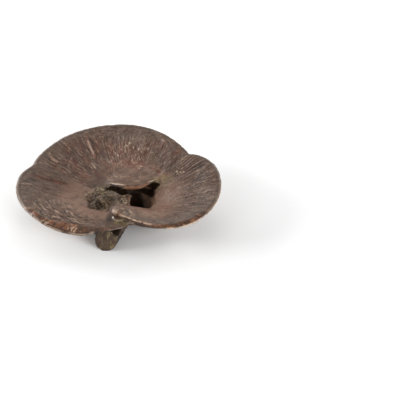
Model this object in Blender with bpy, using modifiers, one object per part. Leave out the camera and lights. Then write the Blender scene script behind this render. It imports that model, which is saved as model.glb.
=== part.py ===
"""A bracket fungus: a dished cap of three lobes and a small inner shelf, on a short cut stem.

The whole fungus grew as one piece, so it is one solid. Each lobe is a sheet lofted from a heart line, near
the middle of the dish, out to its rim line. Solidify gives the sheets their flesh, and a voxel remesh grows
the lobes, the core and the stem together. The frame has +Z up and the origin on the table, under the middle
of the fungus's box. The stem's cut end faces -Y.
"""

import math

import bmesh
import bpy
import numpy as np
from mathutils import Matrix, Vector

MM = 0.001

# ---- driving dimensions, in millimetres -------------------------------------------------------------------
LIP_WIDTH = 0.2  # share of a ray, at the rim, over which the upper face rolls down

STEM_LINE = ((-10.0, -60.0, 7.6), (-8.0, -52.0, 7.6), (-2.0, -32.0, 8.2), (6.0, -10.0, 9.0))
STEM_RADII = (8.0, 8.0, 8.6, 10.0)
STEM_CUT_POINT = (-7.8, -51.0, 7.6)  # the middle of the cut end
STEM_CUT_TILT = 18.0  # degrees that the cut end leans back from upright
STEM_CUT_TURN = 5.0  # degrees that it turns from -Y towards -X

FRAME_SHIFT = (0.515, 0.85, 0.0)  # moves everything, so that the finished box is centred over the origin

# Rounded masses, each a centre and three half axes.
CORE = ((2.0, -3.0, 7.4), (32.0, 26.0, 9.4))  # the swollen end of the stem, where all the lobes meet
FLOORS = (((13.0, -22.0, 8.5), (15.0, 11.0, 6.5)), ((-13.0, -20.0, 7.0), (14.0, 9.0, 6.5)))
TIP = ((3.0, -36.8, 22.4), (7.5, 4.6, 4.0))  # the rounded end of the right lobe, where it passes over the left
KNOLLS = (  # the rough mound between the left lobe and the throat
    ((-6.0, -8.0, 12.5), (12.0, 10.0, 6.0)),
    ((-15.0, -6.0, 13.0), (7.0, 8.0, 5.0)),
    ((3.0, -18.0, 11.0), (8.0, 8.0, 6.5)),
    ((-12.0, -14.0, 12.0), (6.0, 5.0, 5.0)),
    ((-5.0, 3.0, 13.5), (10.0, 7.0, 5.5)),
)
HOLLOWS = (
    ((14.5, -14.0, 10.5), (9.5, 12.0, 8.0)),  # the throat under the shelf
    ((-17.0, -19.5, 14.0), (7.5, 3.2, 4.0)),  # the pocket between the knolls and the left lobe
)

VOXEL = 1.0  # the remesh's grid
SMOOTHING = 10  # rounds of smoothing, which round the lips and blend the joins
TRIANGLES_KEPT = 0.09  # share of the remeshed triangles that the decimation keeps

# ---- the lobes ---------------------------------------------------------------------------------------------
# A heart line is (x, y, z) on the upper face, and a rim line is (x, y, z, roll), where roll is how far the
# lip curls down there. Both run the same way round. Flesh is how thick the lobe is at its heart and its rim.
LEFT_LOBE = {
    "heart": ((4, -30, 15), (-6, -27, 14.5), (-17, -23, 13.5), (-23, -15, 13.5), (-19, -4, 15.5)),
    "rim": (
        (9, -35, 16.0, 1.0),
        (9, -41, 17.5, 1.5),
        (6, -46.5, 18.5, 2.5),
        (1, -49.5, 19.0, 3.0),
        (-6, -51, 19.5, 4.0),
        (-17, -52, 19.0, 5.5),
        (-29, -51.5, 19.0, 6.5),
        (-41, -48.5, 20.0, 6.5),
        (-53.5, -43, 21.5, 5.5),
        (-63.5, -35.5, 23.0, 4.5),
        (-72, -24.5, 24.5, 4.0),
        (-76.5, -10, 26.0, 3.5),
        (-74.5, 4, 27.5, 3.0),
        (-65, 15, 29.0, 3.0),
    ),
    "rise": 1.25,
    "flesh": (12.0, 3.6),
}
BACK_LOBE = {
    "heart": ((-20, -4, 15.5), (-8, 4, 18), (8, 6, 20), (24, 2, 19)),
    "rim": (
        (-69, 8, 26.5, 3.0),
        (-65.5, 19, 29.0, 3.0),
        (-58, 30, 32.0, 3.0),
        (-47, 40, 34.5, 3.0),
        (-29, 49, 37.0, 3.0),
        (-7, 53, 38.0, 3.0),
        (14, 51, 38.0, 3.0),
        (31, 42.5, 37.5, 3.0),
        (43, 31.5, 36.5, 3.0),
        (52.5, 19, 34.0, 3.0),
        (57, 8, 31.0, 3.0),
    ),
    "rise": 1.35,
    "flesh": (15.0, 3.6),
}
RIGHT_LOBE = {
    "heart": (
        (22, 1, 19),
        (24, -6, 16),
        (24.5, -15, 14),
        (22, -24, 15.5),
        (15, -26.5, 19),
        (6, -27.5, 21.5),
        (0, -31.5, 24.0),
    ),
    "rim": (
        (45, 19, 33.0, 3.0),
        (54, 18.5, 35.0, 3.0),
        (64.5, 12, 36.5, 3.0),
        (72.5, 0.5, 36.5, 3.5),
        (75.5, -13.5, 35.5, 3.5),
        (74, -28, 32.5, 3.5),
        (67, -41, 29.5, 3.5),
        (55, -50, 26.5, 4.0),
        (43, -53, 24.5, 4.0),
        (30, -52, 23.0, 3.5),
        (19, -48.5, 23.0, 3.5),
        (9, -44.5, 24.0, 3.5),
        (2, -41.0, 25.0, 3.0),
        (-2, -37, 25.5, 2.5),
    ),
    "rise": 1.1,
    "flesh": (13.0, 3.8),
}
SHELF = {
    "heart": ((-9, 7, 17.4), (-3, 13.5, 20.2), (6, 17.5, 22.2), (15, 17, 22.8), (26, 10.5, 22.0)),
    "rim": (
        (-9, -0.5, 18.6, 0.5),
        (-5, -4.5, 19.3, 1.2),
        (2, -7.5, 20.2, 1.5),
        (9, -8.7, 20.7, 1.5),
        (16, -8.2, 21.0, 1.5),
        (22, -5.2, 21.0, 1.2),
        (28, 1, 20.6, 0.6),
    ),
    "rise": 0.7,
    "flesh": (4.5, 2.8),
}
LOBES = {"left_lobe": LEFT_LOBE, "back_lobe": BACK_LOBE, "right_lobe": RIGHT_LOBE, "shelf": SHELF}

RAYS = 96  # spans along a lobe's rim
RINGS = 28  # spans from its heart to its rim
RIM_CROWDING = 1.6  # above 1, the rings stand closer together towards the rim


def clear_scene():
    for obj in list(bpy.data.objects):
        bpy.data.objects.remove(obj)


def collection(name):
    made = bpy.data.collections.new(name)
    bpy.context.scene.collection.children.link(made)
    return made


def bark_material():
    material = bpy.data.materials.new("lacquered_brown_crust")
    material.use_nodes = True
    shader = material.node_tree.nodes["Principled BSDF"]
    shader.inputs["Base Color"].default_value = (0.16, 0.105, 0.075, 1)
    shader.inputs["Roughness"].default_value = 0.45
    shader.inputs["Metallic"].default_value = 0.0
    return material


def smooth_line(points, count):
    """count + 1 points, evenly spaced along a smooth curve through the given ones."""
    points = np.array(points, float)
    chord = np.linalg.norm(np.diff(points, axis=0), axis=1)
    at = np.concatenate([[0], np.cumsum(chord)])
    slope = np.gradient(points, at, axis=0)
    where = np.linspace(0, at[-1], count + 1)
    span = np.clip(np.searchsorted(at, where, side="right") - 1, 0, len(chord) - 1)
    length = chord[span][:, None]
    t = ((where - at[span]) / chord[span])[:, None]
    start, end = points[span], points[span + 1]
    leave, arrive = slope[span] * length, slope[span + 1] * length
    return (
        (2 * t**3 - 3 * t**2 + 1) * start
        + (t**3 - 2 * t**2 + t) * leave
        + (3 * t**2 - 2 * t**3) * end
        + (t**3 - t**2) * arrive
    )


def lobe_points(lobe):
    """The upper face of a lobe, as an array of ring, ray and coordinate, in millimetres."""
    heart, rim = smooth_line(lobe["heart"], RAYS), smooth_line(lobe["rim"], RAYS)
    roll, rim = rim[:, 3], rim[:, :3]
    reach = (1 - (1 - np.linspace(0, 1, RINGS + 1)) ** RIM_CROWDING)[:, None]
    grid = heart + (rim - heart) * reach[..., None]
    curl = np.clip((reach - 1 + LIP_WIDTH) / LIP_WIDTH, 0, 1)
    grid[..., 2] = heart[:, 2] + (rim[:, 2] - heart[:, 2]) * reach ** lobe["rise"]
    grid[..., 2] -= roll * (1 - np.sqrt(1 - curl**2))
    return grid


def lobe_sheet(name, lobe, helpers):
    """A lobe's upper face, made solid downwards, thinner towards its rim."""
    bpy.ops.mesh.primitive_grid_add(x_subdivisions=RAYS, y_subdivisions=RINGS, size=1)
    obj = bpy.context.object
    obj.name = name
    mesh = obj.data
    mesh.vertices.foreach_set("co", (lobe_points(lobe) * MM).astype(np.float32).ravel())
    flesh = obj.vertex_groups.new(name="flesh")
    for ring in range(RINGS + 1):
        row = range(ring * (RAYS + 1), (ring + 1) * (RAYS + 1))
        flesh.add(list(row), (1 - ring / RINGS) ** 1.3, "REPLACE")
    solid = obj.modifiers.new("flesh", "SOLIDIFY")
    heart_flesh, rim_flesh = lobe["flesh"]
    solid.thickness = heart_flesh * MM
    solid.offset = -1
    solid.vertex_group = "flesh"
    solid.thickness_vertex_group = rim_flesh / heart_flesh
    move_to(obj, helpers)
    return obj


def move_to(obj, target):
    """A guide or a cutter goes into one collection only, and is left out of renders."""
    for holder in list(obj.users_collection):
        holder.objects.unlink(obj)
    target.objects.link(obj)
    obj.location = Vector(FRAME_SHIFT) * MM
    obj.hide_render = True
    obj.display_type = "WIRE"


def mound(name, centre, half, helpers):
    """An ellipsoid."""
    bpy.ops.mesh.primitive_uv_sphere_add(segments=48, ring_count=24, radius=1)
    obj = bpy.context.object
    obj.name = name
    size = Matrix.Diagonal((*[axis * MM for axis in half], 1))
    obj.data.transform(Matrix.Translation(Vector(centre) * MM) @ size)
    move_to(obj, helpers)
    return obj


def cut_frame():
    """The stem's cut end as a matrix: its origin at the middle of the cut, its +Z out of the cut."""
    turn = math.radians(STEM_CUT_TURN)
    out = Vector((-math.sin(turn), -math.cos(turn), math.tan(math.radians(STEM_CUT_TILT))))
    facing = out.to_track_quat("Z", "Y").to_matrix().to_4x4()
    return Matrix.Translation(Vector(STEM_CUT_POINT) * MM) @ facing


def stem_tube(helpers):
    """The stem, a round tube along STEM_LINE, which runs on past the cut."""
    curve = bpy.data.curves.new("stem_line", "CURVE")
    curve.dimensions = "3D"
    curve.bevel_depth = MM
    curve.bevel_resolution = 8
    curve.use_fill_caps = True
    spline = curve.splines.new("BEZIER")
    spline.bezier_points.add(len(STEM_LINE) - 1)
    for knot, place, radius in zip(spline.bezier_points, STEM_LINE, STEM_RADII):
        knot.co = Vector(place) * MM
        knot.radius = radius
        knot.handle_left_type = knot.handle_right_type = "AUTO"
    line = bpy.data.objects.new("stem_line", curve)
    helpers.objects.link(line)
    bpy.context.view_layer.update()
    mesh = bpy.data.meshes.new_from_object(line.evaluated_get(bpy.context.evaluated_depsgraph_get()))
    bpy.data.objects.remove(line)
    bm = bmesh.new()
    bm.from_mesh(mesh)
    bmesh.ops.remove_doubles(bm, verts=bm.verts, dist=0.00001)
    bm.to_mesh(mesh)
    bm.free()
    obj = bpy.data.objects.new("stem", mesh)
    move_to(obj, helpers)
    return obj


def one_mesh(name, pieces, target):
    """The pieces' evaluated meshes side by side in one new object."""
    bpy.context.view_layer.update()
    graph = bpy.context.evaluated_depsgraph_get()
    joined = bmesh.new()
    for piece in pieces:
        mesh = bpy.data.meshes.new_from_object(piece.evaluated_get(graph))
        joined.from_mesh(mesh)
        bpy.data.meshes.remove(mesh)
    mesh = bpy.data.meshes.new(name)
    joined.to_mesh(mesh)
    joined.free()
    obj = bpy.data.objects.new(name, mesh)
    target.objects.link(obj)
    return obj


def one_skin(obj, name):
    """A voxel remesh, which makes whatever overlaps one closed skin."""
    skin = obj.modifiers.new(name, "REMESH")
    skin.mode = "VOXEL"
    skin.voxel_size = VOXEL * MM


def box_cutter(name, low, high, placed, helpers):
    """A box between two corners, in millimetres, in the frame of the matrix placed."""
    bpy.ops.mesh.primitive_cube_add(size=1)
    obj = bpy.context.object
    obj.name = name
    low, high = Vector(low) * MM, Vector(high) * MM
    size = Matrix.Diagonal((*(high - low), 1))
    obj.data.transform(placed @ Matrix.Translation((low + high) / 2) @ size)
    move_to(obj, helpers)
    return obj


def trim(obj, cutter):
    """Takes the cutter's shape out of the object."""
    cut = obj.modifiers.new(cutter.name, "BOOLEAN")
    cut.operation = "DIFFERENCE"
    cut.solver = "EXACT"
    cut.object = cutter


def main():
    clear_scene()
    fungus_parts = collection("bracket_fungus")
    helpers = collection("guides_and_cutters")
    pieces = [lobe_sheet(name, lobe, helpers) for name, lobe in LOBES.items()]
    masses = (CORE, *FLOORS, TIP, *KNOLLS)
    pieces += [mound("mass", *mass, helpers) for mass in masses]
    pieces.append(stem_tube(helpers))
    fungus = one_mesh("bracket_fungus", pieces, fungus_parts)
    one_skin(fungus, "grown_together")
    for hollow in HOLLOWS:
        trim(fungus, mound("hollow", *hollow, helpers))
    one_skin(fungus, "hollows_healed")
    blend = fungus.modifiers.new("blended", "SMOOTH")
    blend.factor = 0.5
    blend.iterations = SMOOTHING
    fewer = fungus.modifiers.new("fewer_faces", "DECIMATE")
    fewer.ratio = TRIANGLES_KEPT
    trim(fungus, box_cutter("stem_cutter", (-11, -11, 0), (11, 8.5, 16), cut_frame(), helpers))
    trim(fungus, box_cutter("table_cutter", (-120, -120, -40), (120, 120, 0), Matrix(), helpers))
    fungus.location = Vector(FRAME_SHIFT) * MM
    fungus.data.materials.append(bark_material())


main()
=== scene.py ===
"""A dried bracket fungus with its ribs, crust and lacquered finish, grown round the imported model.

The cap is three lobes and a small inner shelf. Each lobe is lofted from a heart line, near the middle of the
dish, out to its rim line, as in the part's own source. Two numbers follow the surface everywhere: "around",
the distance along a lobe's rim in millimetres, and "reach", which runs from 0 at the heart to 1 at the rim.
The ribs, the growth zones and most of the colour are written in those two. Lengths are metres unless a name
ends in _mm or a comment says otherwise.
"""

import math

import bmesh
import bpy
import numpy as np
from bpy.props import FloatProperty, FloatVectorProperty, IntProperty, PointerProperty
from mathutils import Matrix, Vector


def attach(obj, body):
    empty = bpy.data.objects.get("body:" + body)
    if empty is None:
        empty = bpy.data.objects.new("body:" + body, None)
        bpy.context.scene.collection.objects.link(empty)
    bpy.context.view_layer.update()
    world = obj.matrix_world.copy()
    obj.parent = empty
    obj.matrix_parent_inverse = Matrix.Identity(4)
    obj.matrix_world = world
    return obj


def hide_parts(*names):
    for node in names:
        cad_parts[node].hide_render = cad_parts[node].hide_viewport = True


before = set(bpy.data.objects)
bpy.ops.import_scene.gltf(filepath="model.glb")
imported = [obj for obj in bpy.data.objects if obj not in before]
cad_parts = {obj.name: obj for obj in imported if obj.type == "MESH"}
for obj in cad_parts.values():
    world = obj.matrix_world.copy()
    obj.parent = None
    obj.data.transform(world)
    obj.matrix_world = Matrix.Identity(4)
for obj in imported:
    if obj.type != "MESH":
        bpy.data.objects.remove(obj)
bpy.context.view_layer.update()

bl_info = {
    "name": "Bracket fungus",
    "version": (1, 0, 0),
    "blender": (4, 5, 0),
    "location": "3D View > Sidebar > Fungus",
    "description": "Grows a dried bracket fungus and sets it on a pale table",
    "category": "Object",
}

MM = 0.001

# ---- the shape, in millimetres ----
FRAME_SHIFT = (0.515, 0.85, 0)
STEM_LINE = ((-10, -60, 7.6), (-8, -52, 7.6), (-2, -32, 8.2), (6, -10, 9))
STEM_RADII = (8, 8, 8.6, 10)
STEM_CUT_POINT = (-7.8, -51, 7.6)
STEM_CUT_TILT, STEM_CUT_TURN = 18, 5  # degrees back from upright, and round towards -X
MASSES = (  # a centre and three half axes each: the core, two floors, the right lobe's tip and the knolls
    ((2, -3, 7.4), (32, 26, 9.4)),
    ((13, -22, 8.5), (15, 11, 6.5)),
    ((-13, -20, 7), (14, 9, 6.5)),
    ((3, -36.8, 22.4), (7.5, 4.6, 4)),
    ((-6, -8, 12.5), (12, 10, 6)),
    ((-15, -6, 13), (7, 8, 5)),
    ((3, -18, 11), (8, 8, 6.5)),
    ((-12, -14, 12), (6, 5, 5)),
    ((-5, 3, 13.5), (10, 7, 5.5)),
)
HOLLOWS = (  # the hole and its right side, five under the shelf, the gap over the stem, the pocket
    ((14.5, -14, 10.5), (9.5, 12, 8)),
    ((20, -14.5, 14.5), (6, 9.5, 5.5)),
    ((14, -6, 15.4), (9.5, 5.4, 4.2)),
    ((22.5, -3.6, 18.6), (4.2, 1.9, 1.7)),
    ((25.5, -1.8, 19.6), (3.2, 1.3, 1.2)),
    ((5.5, -9.2, 17.9), (6.6, 2.7, 1.7)),
    ((-3.5, -6.4, 18.4), (4.6, 2, 1.2)),
    ((-0.5, -48.5, 14.6), (4.6, 5, 2)),
    ((-17, -19.5, 14), (7.5, 3.2, 4)),
    ((-11.5, -21.5, 14.2), (6, 2.6, 2.6)),
)

# A heart line is (x, y, z), and a rim line is (x, y, z, roll), where roll is how far the lip curls down.
LOBES = {
    "left_lobe": {
        "heart": ((4, -30, 15), (-6, -27, 14.5), (-17, -23, 13.5), (-23, -15, 13.5), (-19, -4, 15.5)),
        "rim": (
            (9, -35, 16, 1), (9, -41, 17.5, 1.5), (6, -46.5, 18.5, 2.5), (1, -49.5, 19, 3),
            (-6, -51, 19.5, 4), (-17, -52, 19, 5.5), (-29, -51.5, 19, 6.5), (-41, -48.5, 20, 6.5),
            (-53.5, -43, 21.5, 5.5), (-63.5, -35.5, 23, 4.5), (-72, -24.5, 24.5, 4), (-76.5, -10, 26, 3.5),
            (-74.5, 4, 27.5, 3), (-65, 15, 29, 3),
        ),
        "rise": 1.25,
        "flesh": (12, 3.6),
    },
    "back_lobe": {
        "heart": ((-20, -4, 15.5), (-8, 4, 18), (8, 6, 20), (24, 2, 19)),
        "rim": (
            (-69, 8, 26.5, 3), (-65.5, 19, 29, 3), (-58, 30, 32, 3), (-47, 40, 34.5, 3), (-29, 49, 37, 3),
            (-7, 53, 38, 3), (14, 51, 38, 3), (31, 42.5, 37.5, 3), (43, 31.5, 36.5, 3), (52.5, 19, 34, 3),
            (57, 8, 31, 3),
        ),
        "rise": 1.35,
        "flesh": (15, 3.6),
    },
    "right_lobe": {
        "heart": (
            (22, 1, 19), (24, -6, 16), (24.5, -15, 14), (22, -24, 15.5), (15, -26.5, 19), (6, -27.5, 21.5),
            (0, -31.5, 24),
        ),
        "rim": (
            (45, 19, 33, 3), (54, 18.5, 35, 3), (64.5, 12, 36.5, 3), (72.5, 0.5, 36.5, 3.5),
            (75.5, -13.5, 35.5, 3.5), (74, -28, 32.5, 3.5), (67, -41, 29.5, 3.5), (55, -50, 26.5, 4),
            (43, -53, 24.5, 4), (30, -52, 23, 3.5), (19, -48.5, 23, 3.5), (9, -44.5, 24, 3.5),
            (2, -41, 25, 3), (-2, -37, 25.5, 2.5),
        ),
        "rise": 1.1,
        "flesh": (13, 3.8),
    },
    "shelf": {
        "heart": ((26, 10.5, 22), (15, 17, 22.6), (6, 17.5, 22), (-3, 13.5, 20), (-9, 7, 17.6)),
        "rim": (
            (28, 0.8, 22.4, 1), (22, -4.6, 23, 2), (16, -8.6, 23.2, 2.9), (9, -9.4, 22.9, 3),
            (2, -7.6, 22.4, 2.7), (-5, -4, 21.4, 1.9), (-9, -0.6, 20.4, 0.8),
        ),
        "rise": 0.9,
        "flesh": (4.5, 2.6),
    },
}
RUBBED_AND_HIGHLIT_SPOTS = (  # where the crust is painted pale, partly rubbed and partly painted highlight: a centre, three half axes and a strength each
    ((44.5, 5.5, 26), (4.5, 3.5, 4), 0.65),
    ((-21.5, 17, 22.5), (4, 4, 4), 0.45),
    ((14.5, 14.5, 23.5), (3.4, 2.6, 3), 0.6),
    ((22, 30, 28), (1.8, 2.6, 3), 0.5),
    ((8, 40, 33), (3.5, 2.2, 3), 0.45),
    ((-31, -49.3, 17), (8, 3.4, 2.6), 0.42),
    ((-54.5, -42.5, 18.5), (9, 5, 3), 0.6),
    ((-64, -34, 20), (6, 6, 3), 0.5),
    ((24, -51.5, 20.5), (3, 2.4, 2), 0.7),
    ((38, -53, 20.5), (4, 2.4, 2), 0.7),
)
WHITE_DOT_TINT = (0.85, 0.82, 0.78, 1)  # one white dot at the tip of the right lobe
LOBE_GAP_MM = 500  # how much later "around" starts on each next lobe, so that no two look alike
BACK_MM, RIGHT_MM, SHELF_MM = LOBE_GAP_MM, 2 * LOBE_GAP_MM, 3 * LOBE_GAP_MM
SHELF_FROM_MM = SHELF_MM - 50  # only the shelf has an "around" past this
LIP_WIDTH = 0.2  # how much of the reach the curled lip takes
FLESH_TAPER = 1.3
RAYS, RINGS, RIM_CROWDING = 160, 44, 1.6
SOFT_ROUNDS, SOFT_GRAIN = 5, 0.001  # rounds of softening at that grain, in metres
ROOT_BLUR = 160  # rounds of evening out where the shelf meets the dish

# ---- the stage ----
PANELS = (  # degrees round from the front towards +X, degrees up, share of the power
    (45, 20, 0.73),
    (135, 20, 0.58),
    (180, 50, 0.14),
    (225, 20, 0.36),
    (270, 20, 1),
    (315, 50, 0.06),
)
PANEL_AIM, PANEL_DISTANCE = (0, 0, 0.02), 0.95
CAMERA_AIM = (0.0598, -0.01715, 0.018)
CLIP_START, CLIP_END = 0.01, 20
TABLE_SIZE = 6
CM2_PER_M2 = 10000


def tone(red, green, blue):
    """A linear colour from its everyday values, which run from 11 to 255."""
    return tuple(((v / 255 + 0.055) / 1.055) ** 2.4 for v in (red, green, blue))


# ---- what a user would change ----
def number(name, description, default, **kind):
    return FloatProperty(name=name, description=description, default=default, **kind)


def length(name, description, default):
    return number(name, description, default, unit="LENGTH", min=0)


def colour(name, description, default):
    kind = {"subtype": "COLOR", "min": 0, "max": 1}
    return FloatVectorProperty(name=name, description=description, default=default, **kind)


class FungusSizes(bpy.types.PropertyGroup):
    grain: length("Grain", "Size of the faces that the fungus is made of", 0.00067)
    rib_spacing: length("Rib spacing", "Distance between ribs along the rim", 0.0021)
    rib_height: length("Rib height", "How far the ribs stand up", 0.0006)
    fold_height: length("Fold height", "How far the broad folds stand up", 0.0008)
    zone_height: length("Zone height", "How far the growth lines along the rim stand up", 0.0007)
    crust_height: length("Crust height", "How rough the crusted knolls are", 0.0020)
    crumb: length("Crumb", "Radius of the largest crumb of crust", 0.00085)
    crumbs_per_cm2: number("Crumbs", "Crumbs to a square centimetre of crust", 40)
    seed: IntProperty(name="Seed", description="Changes where the crumbs lie", default=7)


class FungusColours(bpy.types.PropertyGroup):
    brown: colour("Brown", "The crust's main colour", tone(86, 64, 49))
    inner: colour("Inner brown", "The smoother crust near the middle of the dish", tone(114, 86, 70))
    red: colour("Red brown", "The lacquered zones", tone(98, 54, 38))
    amber: colour("Amber", "The lacquered lip", tone(108, 66, 34))
    # grey: grey patches of crust, and the painted sheen along the plain rims
    grey: colour("Grey brown", "The young crust at the rims", tone(96, 83, 73))
    # groove also paints the shadow under the right lobe's tip, along the left lip and deep in the mossy
    # creases
    groove: colour("Groove", "The grooves between the ribs", tone(50, 32, 21))
    # ridge also paints the light on the lobes' fronts and the highlights on the rib crests and the knolls
    ridge: colour("Ridge", "The tops of the ribs", tone(158, 130, 110))
    # the pale cream: partly wear, partly painted highlight on the crests, the rims, the pleat, the tip and
    # the knolls
    worn: colour("Worn", "Where the crust is rubbed through", tone(214, 188, 162))
    olive: colour("Olive", "The crusted knolls", tone(84, 70, 50))
    moss: colour("Moss", "The yellow green bloom in the creases", tone(132, 118, 78))
    # the painted shade: near-black painted into the hole, the gaps under the shelf and over the stem, and the
    # knolls' pits
    throat: colour("Throat", "The inside of the hole", tone(30, 20, 13))
    pores: colour("Pores", "The underside", tone(112, 90, 70))
    stem: colour("Stem", "The stem's bark", tone(36, 26, 20))
    cut: colour("Cut", "The stem's cut end", tone(74, 56, 38))


class StageSettings(bpy.types.PropertyGroup):
    floor: colour("Floor", "The table's colour", (0.86, 0.86, 0.86))
    dome: number("Dome", "Strength of the light from all round", 0.3)
    power: number("Panels", "Power of the strongest panel", 9.2, unit="POWER")
    panel: length("Panel size", "Width of each light panel", 0.5)
    distance: length("Camera distance", "From the camera to what it looks at", 0.69)
    elevation: number("Elevation", "How far the camera looks down", math.radians(40), subtype="ANGLE")
    lens: number("Lens", "Focal length in millimetres", 85, subtype="DISTANCE_CAMERA")


# ---- node trees ----
def maths(operation, swapped=False):
    """A method that adds a Math node. Swapped ones serve where the Value is the second operand."""

    def method(self, other=0):
        first, second = (other, self) if swapped else (self, other)
        return self.tree.add("ShaderNodeMath", {"operation": operation}, {0: first, 1: second})

    return method


class Value:
    """One output in a node tree. Arithmetic on it adds Math nodes."""

    __add__, __radd__ = maths("ADD"), maths("ADD", True)
    __sub__, __rsub__ = maths("SUBTRACT"), maths("SUBTRACT", True)
    __mul__, __rmul__ = maths("MULTIPLY"), maths("MULTIPLY", True)
    __truediv__, __pow__, __abs__ = maths("DIVIDE"), maths("POWER"), maths("ABSOLUTE")
    atleast = maths("MAXIMUM")

    def __init__(self, tree, socket):
        self.tree, self.socket = tree, socket

    def rises(self, low, high):
        """0 below low, 1 above high, and a soft step between them."""
        sockets = {"Value": self, "From Min": low, "From Max": high}
        return self.tree.add("ShaderNodeMapRange", {"interpolation_type": "SMOOTHSTEP"}, sockets)

    def falls(self, low, high):
        return 1 - self.rises(low, high)


class Tree:
    """A node tree that is written as expressions."""

    def __init__(self, nodes):
        self.nodes = nodes

    @staticmethod
    def find(sockets, name):
        if isinstance(name, int):
            return sockets[name]
        return next(socket for socket in sockets if socket.name == name and socket.enabled)

    def add(self, kind, settings=None, sockets=None, out=0):
        """Adds a node: its settings, then its sockets' values or links. Gives one of its outputs."""
        node = self.nodes.nodes.new(kind)
        for name, value in (settings or {}).items():
            setattr(node, name, value)
        for name, value in (sockets or {}).items():
            socket = self.find(node.inputs, name)
            if isinstance(value, Value):
                self.nodes.links.new(value.socket, socket)
            else:
                socket.default_value = value
        if isinstance(out, int):
            return Value(self, [socket for socket in node.outputs if socket.enabled][out])
        return Value(self, self.find(node.outputs, out))

    def triple(self, x, y, z):
        return self.add("ShaderNodeCombineXYZ", None, {"X": x, "Y": y, "Z": z})

    def part(self, vector, axis):
        return self.add("ShaderNodeSeparateXYZ", None, {"Vector": vector}, axis)

    def vector(self, operation, first, second=(0, 0, 0), out="Vector"):
        return self.add("ShaderNodeVectorMath", {"operation": operation}, {0: first, 1: second}, out)

    def scaled(self, vector, factor):
        return self.add("ShaderNodeVectorMath", {"operation": "SCALE"}, {"Vector": vector, "Scale": factor})

    def read_all(self, names):
        return (self.read(name) for name in names.split())

    def noise(self, vector, scale, detail, roughness=0.5):
        """Soft noise about 0.5."""
        sockets = {"Vector": vector, "Scale": scale, "Detail": detail, "Roughness": roughness}
        return self.add("ShaderNodeTexNoise", None, sockets)

    def cells(self, vector, scale):
        """The distance to the nearest of many scattered points."""
        return self.add("ShaderNodeTexVoronoi", None, {"Vector": vector, "Scale": scale}, "Distance")

    def mix(self, first, second, factor):
        """Two colours by a factor."""
        sockets = {"Factor": factor, "A": first, "B": second}
        return self.add("ShaderNodeMix", {"data_type": "RGBA"}, sockets, "Result")

    def coats(self, colour, *coats):
        """A colour under coats, each of them another colour and how much of it shows."""
        for tint, amount in coats:
            colour = self.mix(colour, tint, amount)
        return colour

    def blob(self, position, centre_mm, half_mm):
        """1 at the middle of an ellipsoid, 0 at its skin and less outside."""
        centre = tuple((c + s) * MM for c, s in zip(centre_mm, FRAME_SHIFT))
        off = self.vector("SUBTRACT", position, centre)
        scaled = self.vector("DIVIDE", off, tuple(h * MM for h in half_mm))
        return 1 - self.vector("LENGTH", scaled, out="Value")


class GeometryTree(Tree):
    """A Geometry Nodes tree with named inputs, which ends in Realize Instances and Set Material."""

    def __init__(self, name, inputs):
        super().__init__(bpy.data.node_groups.new(name, "GeometryNodeTree"))
        self.nodes.interface.new_socket("Geometry", in_out="OUTPUT", socket_type="NodeSocketGeometry")
        for label, kind in (("Geometry", "Geometry"), *inputs, ("Material", "Material")):
            self.nodes.interface.new_socket(label, in_out="INPUT", socket_type="NodeSocket" + kind)
        self.group = self.nodes.nodes.new("NodeGroupInput")

    def given(self, name):
        return Value(self, self.find(self.group.outputs, name))

    def read(self, name):
        return self.add("GeometryNodeInputNamedAttribute", None, {"Name": name}, "Attribute")

    def write(self, geometry, name, value):
        sockets = {"Geometry": geometry, "Name": name, "Value": value}
        return self.add("GeometryNodeStoreNamedAttribute", None, sockets)

    def finish(self, geometry):
        whole = self.add("GeometryNodeRealizeInstances", None, {"Geometry": geometry})
        smooth = self.add("GeometryNodeSetShadeSmooth", None, {"Geometry": whole})
        sockets = {"Geometry": smooth, "Material": self.given("Material")}
        done = self.add("GeometryNodeSetMaterial", None, sockets)
        out = self.nodes.nodes.new("NodeGroupOutput")
        self.nodes.links.new(done.socket, out.inputs["Geometry"])

    def apply(self, obj, **values):
        """The object's mesh as this tree makes it. Underscores in a value's name stand for spaces."""
        changer = obj.modifiers.new(self.nodes.name, "NODES")
        changer.node_group = self.nodes
        identifiers = {
            item.name: item.identifier
            for item in self.nodes.interface.items_tree
            if item.item_type == "SOCKET" and item.in_out == "INPUT"
        }
        for name, value in values.items():
            changer[identifiers[name.replace("_", " ")]] = value
        mesh = mesh_of(obj)
        obj.modifiers.remove(changer)
        return mesh


def mesh_of(obj):
    """The object's mesh with its modifiers carried out."""
    bpy.context.view_layer.update()
    return bpy.data.meshes.new_from_object(obj.evaluated_get(bpy.context.evaluated_depsgraph_get()))


def new_object(name, data):
    obj = bpy.data.objects.new(name, data)
    bpy.context.scene.collection.objects.link(obj)
    return obj


def modify(obj, kind, **settings):
    modifier = obj.modifiers.new(kind.lower(), kind)
    for name, value in settings.items():
        setattr(modifier, name, value)


def forget(*objects):
    """Removes guides and cutters once they have served."""
    for obj in objects:
        mesh = obj.data
        bpy.data.objects.remove(obj)
        bpy.data.meshes.remove(mesh)


# ---- the fungus's form ----
def smooth_line(points, count):
    """count + 1 points, evenly spaced along a smooth curve through the given ones."""
    points = np.array(points, float)
    chord = np.linalg.norm(np.diff(points, axis=0), axis=1)
    at = np.concatenate([[0], np.cumsum(chord)])
    slope = np.gradient(points, at, axis=0)
    where = np.linspace(0, at[-1], count + 1)
    span = np.clip(np.searchsorted(at, where, side="right") - 1, 0, len(chord) - 1)
    size = chord[span][:, None]
    t = ((where - at[span]) / chord[span])[:, None]
    start, end = points[span], points[span + 1]
    return (
        (2 * t**3 - 3 * t**2 + 1) * start
        + (t**3 - 2 * t**2 + t) * slope[span] * size
        + (3 * t**2 - 2 * t**3) * end
        + (t**3 - t**2) * slope[span + 1] * size
    )


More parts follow.
